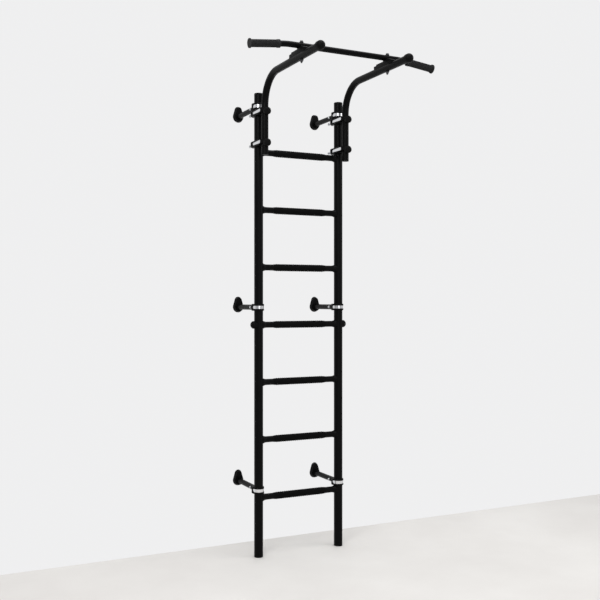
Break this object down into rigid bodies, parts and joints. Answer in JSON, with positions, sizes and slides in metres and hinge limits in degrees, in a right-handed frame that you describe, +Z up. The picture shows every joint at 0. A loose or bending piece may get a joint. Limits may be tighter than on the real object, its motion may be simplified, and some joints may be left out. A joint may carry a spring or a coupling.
{
  "type": "pull up bar",
  "caption": "Wall-mounted steel ladder with ribbed rungs and a pull-up bar on two gooseneck arms that slide in clamps on its uprights.",
  "frame": {"origin": "where the wall plane meets the floor, midway between the two uprights", "axes": "+Z up, +Y into the wall, +X to the right for a person who faces the ladder"},
  "size_m": [0.9206, 0.909, 2.3249],
  "materials": {
    "black_steel": "satin black powder coat",
    "black_plastic": "moulded black plastic",
    "rung_rubber": "ribbed black rubber",
    "bar_grip_rubber": "fluted dark rubber",
    "polished_steel": "polished strap",
    "zinc_fasteners": "bright zinc",
    "inner_steel": "bare steel"
  },
  "bodies": {
    "ladder": {"left_upright_lower": "black_steel", "left_upright_upper": "black_steel", "left_bracket_low": "black_steel", "left_bracket_middle": "black_steel", "left_bracket_top": "black_steel", "left_top_cap": "black_plastic", "left_foot": "black_plastic", "left_bolt_cap": "black_plastic", "right_upright_lower": "black_steel", "right_upright_upper": "black_steel", "right_bracket_low": "black_steel", "right_bracket_middle": "black_steel", "right_bracket_top": "black_steel", "right_top_cap": "black_plastic", "right_foot": "black_plastic", "right_bolt_cap": "black_plastic", "rung_1": "black_steel", "rung_grip_1": "rung_rubber", "rung_2": "black_steel", "rung_grip_2": "rung_rubber", "rung_3": "black_steel", "rung_grip_3": "rung_rubber", "rung_4": "black_steel", "rung_grip_4": "rung_rubber", "rung_5": "black_steel", "rung_grip_5": "rung_rubber", "rung_6": "black_steel", "rung_grip_6": "rung_rubber", "rung_7": "black_steel", "rung_grip_7": "rung_rubber", "bracket_liners": "black_plastic", "clamp_liners": "black_plastic", "clamp_noses": "black_plastic", "bracket_straps": "polished_steel", "clamp_straps": "polished_steel", "rung_bolts": "zinc_fasteners", "pinch_bolts": "zinc_fasteners", "pinch_nuts": "zinc_fasteners", "upright_couplers": "inner_steel", "rung_inserts": "inner_steel"},
    "pull_up_unit": {"left_arm": "black_steel", "right_arm": "black_steel", "left_tip_cap": "black_plastic", "right_tip_cap": "black_plastic", "arm_plugs": "black_plastic", "pull_up_bar": "black_steel", "left_bar_grip": "bar_grip_rubber", "right_bar_grip": "bar_grip_rubber", "left_bar_saddle": "black_plastic", "right_bar_saddle": "black_plastic", "bar_bolts": "zinc_fasteners", "bar_nuts": "zinc_fasteners", "bar_washers": "zinc_fasteners"},
    "left_cover_low_body": {"left_cover_low": "black_plastic"},
    "right_cover_low_body": {"right_cover_low": "black_plastic"},
    "left_cover_middle_body": {"left_cover_middle": "black_plastic"},
    "right_cover_middle_body": {"right_cover_middle": "black_plastic"},
    "left_cover_top_body": {"left_cover_top": "black_plastic"},
    "right_cover_top_body": {"right_cover_top": "black_plastic"}
  },
  "joints": [
    {"name": "bar_height", "type": "slide", "parent": "ladder", "child": "pull_up_unit", "axis": [0, 0, 1], "range_m": [-0.008, 0.04]},
    {"name": "left_cover_low_slide", "type": "slide", "parent": "ladder", "child": "left_cover_low_body", "axis": [0, -1, 0], "range_m": [0, 0.155]},
    {"name": "right_cover_low_slide", "type": "slide", "parent": "ladder", "child": "right_cover_low_body", "axis": [0, -1, 0], "range_m": [0, 0.155]},
    {"name": "left_cover_middle_slide", "type": "slide", "parent": "ladder", "child": "left_cover_middle_body", "axis": [0, -1, 0], "range_m": [0, 0.155]},
    {"name": "right_cover_middle_slide", "type": "slide", "parent": "ladder", "child": "right_cover_middle_body", "axis": [0, -1, 0], "range_m": [0, 0.155]},
    {"name": "left_cover_top_slide", "type": "slide", "parent": "ladder", "child": "left_cover_top_body", "axis": [0, -1, 0], "range_m": [0, 0.155]},
    {"name": "right_cover_top_slide", "type": "slide", "parent": "ladder", "child": "right_cover_top_body", "axis": [0, -1, 0], "range_m": [0, 0.155]}
  ]
}
